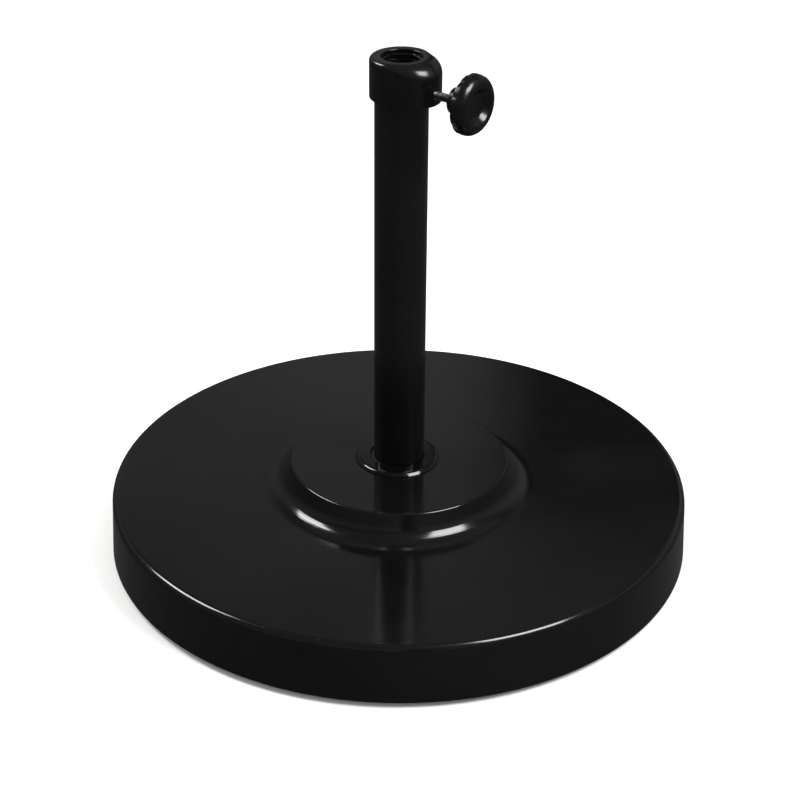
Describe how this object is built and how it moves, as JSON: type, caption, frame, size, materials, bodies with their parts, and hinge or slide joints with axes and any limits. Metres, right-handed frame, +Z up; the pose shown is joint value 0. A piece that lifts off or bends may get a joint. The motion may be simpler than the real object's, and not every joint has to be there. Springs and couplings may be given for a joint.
{
  "type": "parasol base",
  "caption": "Round weighted parasol base: glossy steel-covered concrete foot, tubular stem and a cap whose clamp screw holds the pole.",
  "frame": {"origin": "on the floor, under the middle of the stem", "axes": "+Z up along the stem; the clamp knob points 37.5 degrees from +X towards -Y, where the viewer stands"},
  "size_m": [0.5878, 0.5878, 0.5166],
  "materials": {
    "enamel": "gloss black stove enamel",
    "black_trim": "gloss",
    "black_plastic": "semi-gloss moulded",
    "grey_plastic": "matt moulded",
    "black_rubber": "matt",
    "concrete": "cast concrete",
    "zinc_sheet": "galvanised sheet",
    "zinc_steel": "zinc plated",
    "mill_steel": "plain mill steel",
    "brass": "turned"
  },
  "bodies": {
    "base": {"shell": "enamel", "ballast": "concrete", "base_pan": "zinc_sheet", "feet": "black_rubber", "foot_screws": "zinc_steel", "screw_plugs": "grey_plastic", "anchor_plate": "mill_steel", "anchor_studs": "mill_steel", "stem_tube": "enamel", "weld_plug": "mill_steel", "stem_bolt": "zinc_steel", "lock_washer": "zinc_steel", "flat_washer": "zinc_steel", "pole_cup": "grey_plastic", "trim_collar": "black_trim", "collar_seal": "black_rubber", "cap": "black_plastic", "cap_screw": "zinc_steel", "pole_guide": "black_plastic", "thread_insert": "brass"},
    "clamp_pad": {"clamp_pad": "grey_plastic"},
    "clamp_screw": {"clamp_stud": "zinc_steel", "knob": "black_plastic", "knob_insert": "brass"}
  },
  "joints": [
    {"name": "pad_slide", "type": "slide", "parent": "base", "child": "clamp_pad", "axis": [-0.7934, 0.6088, 0], "range_m": [-0.0019, 0.0076]},
    {"name": "knob_turn", "type": "hinge", "parent": "clamp_pad", "child": "clamp_screw", "pos_m": [0, 0, 0.4875], "axis": [-0.7934, 0.6088, 0], "range_deg": [-540, 2160]}
  ],
  "couplings": [
    {"joint": "pad_slide", "follows": "knob_turn", "m_per_rad": 0.00019894}
  ]
}
